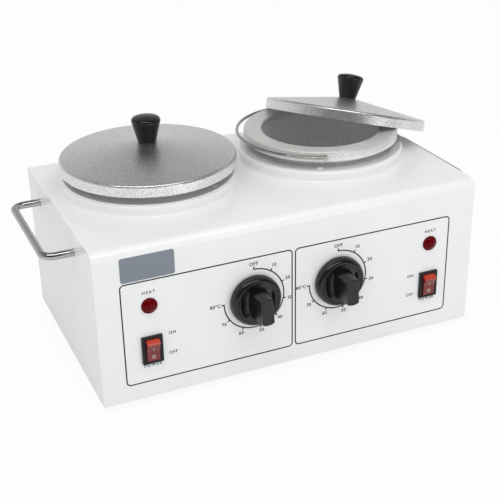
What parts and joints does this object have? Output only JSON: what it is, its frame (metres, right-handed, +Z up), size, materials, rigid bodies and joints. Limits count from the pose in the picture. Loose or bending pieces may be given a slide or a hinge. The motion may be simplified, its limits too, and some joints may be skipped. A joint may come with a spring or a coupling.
{
  "type": "double wax warmer",
  "caption": "Twin-well wax warmer: folded white casing, lift-out pots with bails, knobbed lids, dials, rocker switches, pilot lamps, end handles and a rear mains inlet.",
  "frame": {"origin": "on the floor under the middle of the casing's footprint", "axes": "+X to the right seen from the front, +Y to the back, +Z up; the front panel faces -Y"},
  "size_m": [0.3439, 0.2203, 0.1735],
  "materials": {
    "white_paint": "glossy white powder coat",
    "zinc_plate": "zinc-plated sheet",
    "screw_steel": "bright zinc-plated screws and nuts",
    "foot_rubber": "soft matt rubber",
    "plate_grey": "bare satin grey plate",
    "handle_chrome": "polished chrome",
    "well_aluminium": "satin cast aluminium",
    "rivet_metal": "bright domed rivets",
    "heater_band": "mica heater band in a steel jacket",
    "glass_wool": "needled glass fibre mat",
    "stat_body": "pale moulded thermostat body",
    "copper_tube": "bare copper capillary",
    "ceramic_white": "glass fibre sleeve",
    "shaft_steel": "turned steel",
    "dial_black": "black moulded plastic",
    "switch_black": "black moulded plastic",
    "rocker_red": "translucent red plastic",
    "lamp_red": "dark red lens",
    "lamp_white": "white moulded plastic",
    "inlet_black": "black moulded plastic",
    "contact_brass": "plain brass",
    "wire_cover": "silicone covered lead",
    "pot_aluminium": "satin spun aluminium",
    "bail_wire": "drawn steel wire",
    "lid_aluminium": "finely pebbled aluminium",
    "knob_black": "black phenolic"
  },
  "bodies": {
    "casing": {"casing_wrap": "white_paint", "left_side_panel": "white_paint", "right_side_panel": "white_paint", "base_plate": "zinc_plate", "base_screws": "screw_steel", "rubber_feet": "foot_rubber", "foot_screws": "screw_steel", "name_plate": "plate_grey", "left_handle": "handle_chrome", "right_handle": "handle_chrome", "handle_nuts": "screw_steel", "left_well": "well_aluminium", "right_well": "well_aluminium", "well_rivets": "rivet_metal", "left_heater_band": "heater_band", "right_heater_band": "heater_band", "band_screws": "screw_steel", "left_insulation": "glass_wool", "right_insulation": "glass_wool", "sensor_straps": "zinc_plate", "strap_nuts": "screw_steel", "left_thermostat": "stat_body", "right_thermostat": "stat_body", "thermostat_screws": "screw_steel", "left_sensing_bulb": "copper_tube", "right_sensing_bulb": "copper_tube", "thermal_fuses": "ceramic_white", "left_switch_housing": "switch_black", "right_switch_housing": "switch_black", "left_lamp_lens": "lamp_red", "right_lamp_lens": "lamp_red", "lamp_bodies": "lamp_white", "inlet_housing": "inlet_black", "inlet_pins": "contact_brass", "inlet_screws": "screw_steel", "terminal_block": "lamp_white", "terminal_screws": "contact_brass", "earth_stud": "screw_steel", "supply_wiring": "wire_cover", "left_wiring": "wire_cover", "right_wiring": "wire_cover"},
    "left_pot": {"left_pot": "pot_aluminium"},
    "right_pot": {"right_pot": "pot_aluminium"},
    "left_bail": {"left_bail": "bail_wire"},
    "right_bail": {"right_bail": "bail_wire"},
    "left_lid": {"left_lid": "lid_aluminium", "left_lid_knob": "knob_black", "left_lid_screw": "screw_steel"},
    "right_lid": {"right_lid": "lid_aluminium", "right_lid_knob": "knob_black", "right_lid_screw": "screw_steel"},
    "left_dial": {"left_dial_knob": "dial_black", "left_dial_shaft": "shaft_steel"},
    "right_dial": {"right_dial_knob": "dial_black", "right_dial_shaft": "shaft_steel"},
    "left_switch": {"left_rocker": "rocker_red"},
    "right_switch": {"right_rocker": "rocker_red"}
  },
  "joints": [
    {"name": "left_pot_lift", "type": "slide", "parent": "casing", "child": "left_pot", "axis": [0, 0, 1], "range_m": [0, 0.095]},
    {"name": "left_bail_swing", "type": "hinge", "parent": "left_pot", "child": "left_bail", "pos_m": [-0.0715, 0.016, 0.1395], "axis": [1, 0, 0], "range_deg": [-7, 2]},
    {"name": "left_lid_lift", "type": "slide", "parent": "left_pot", "child": "left_lid", "axis": [0, 0, 1], "range_m": [0, 0.12]},
    {"name": "left_dial_turn", "type": "hinge", "parent": "casing", "child": "left_dial", "pos_m": [-0.0332, -0.088, 0.06405], "axis": [0, 1, 0], "range_deg": [-177, 93]},
    {"name": "left_switch_rock", "type": "hinge", "parent": "casing", "child": "left_switch", "pos_m": [-0.1104, -0.088, 0.04315], "axis": [-1, 0, 0], "range_deg": [0, 22]},
    {"name": "right_pot_lift", "type": "slide", "parent": "casing", "child": "right_pot", "axis": [0, 0, 1], "range_m": [0, 0.095]},
    {"name": "right_bail_swing", "type": "hinge", "parent": "right_pot", "child": "right_bail", "pos_m": [0.0715, 0.016, 0.1395], "axis": [0.3955, 0.9184, 0], "range_deg": [-7, 0]},
    {"name": "right_lid_lift", "type": "slide", "parent": "right_pot", "child": "right_lid", "axis": [0, 0, 1], "range_m": [0, 0.12]},
    {"name": "right_dial_turn", "type": "hinge", "parent": "casing", "child": "right_dial", "pos_m": [0.0332, -0.088, 0.06405], "axis": [0, 1, 0], "range_deg": [-177, 93]},
    {"name": "right_switch_rock", "type": "hinge", "parent": "casing", "child": "right_switch", "pos_m": [0.1104, -0.088, 0.04315], "axis": [-1, 0, 0], "range_deg": [0, 22]}
  ]
}
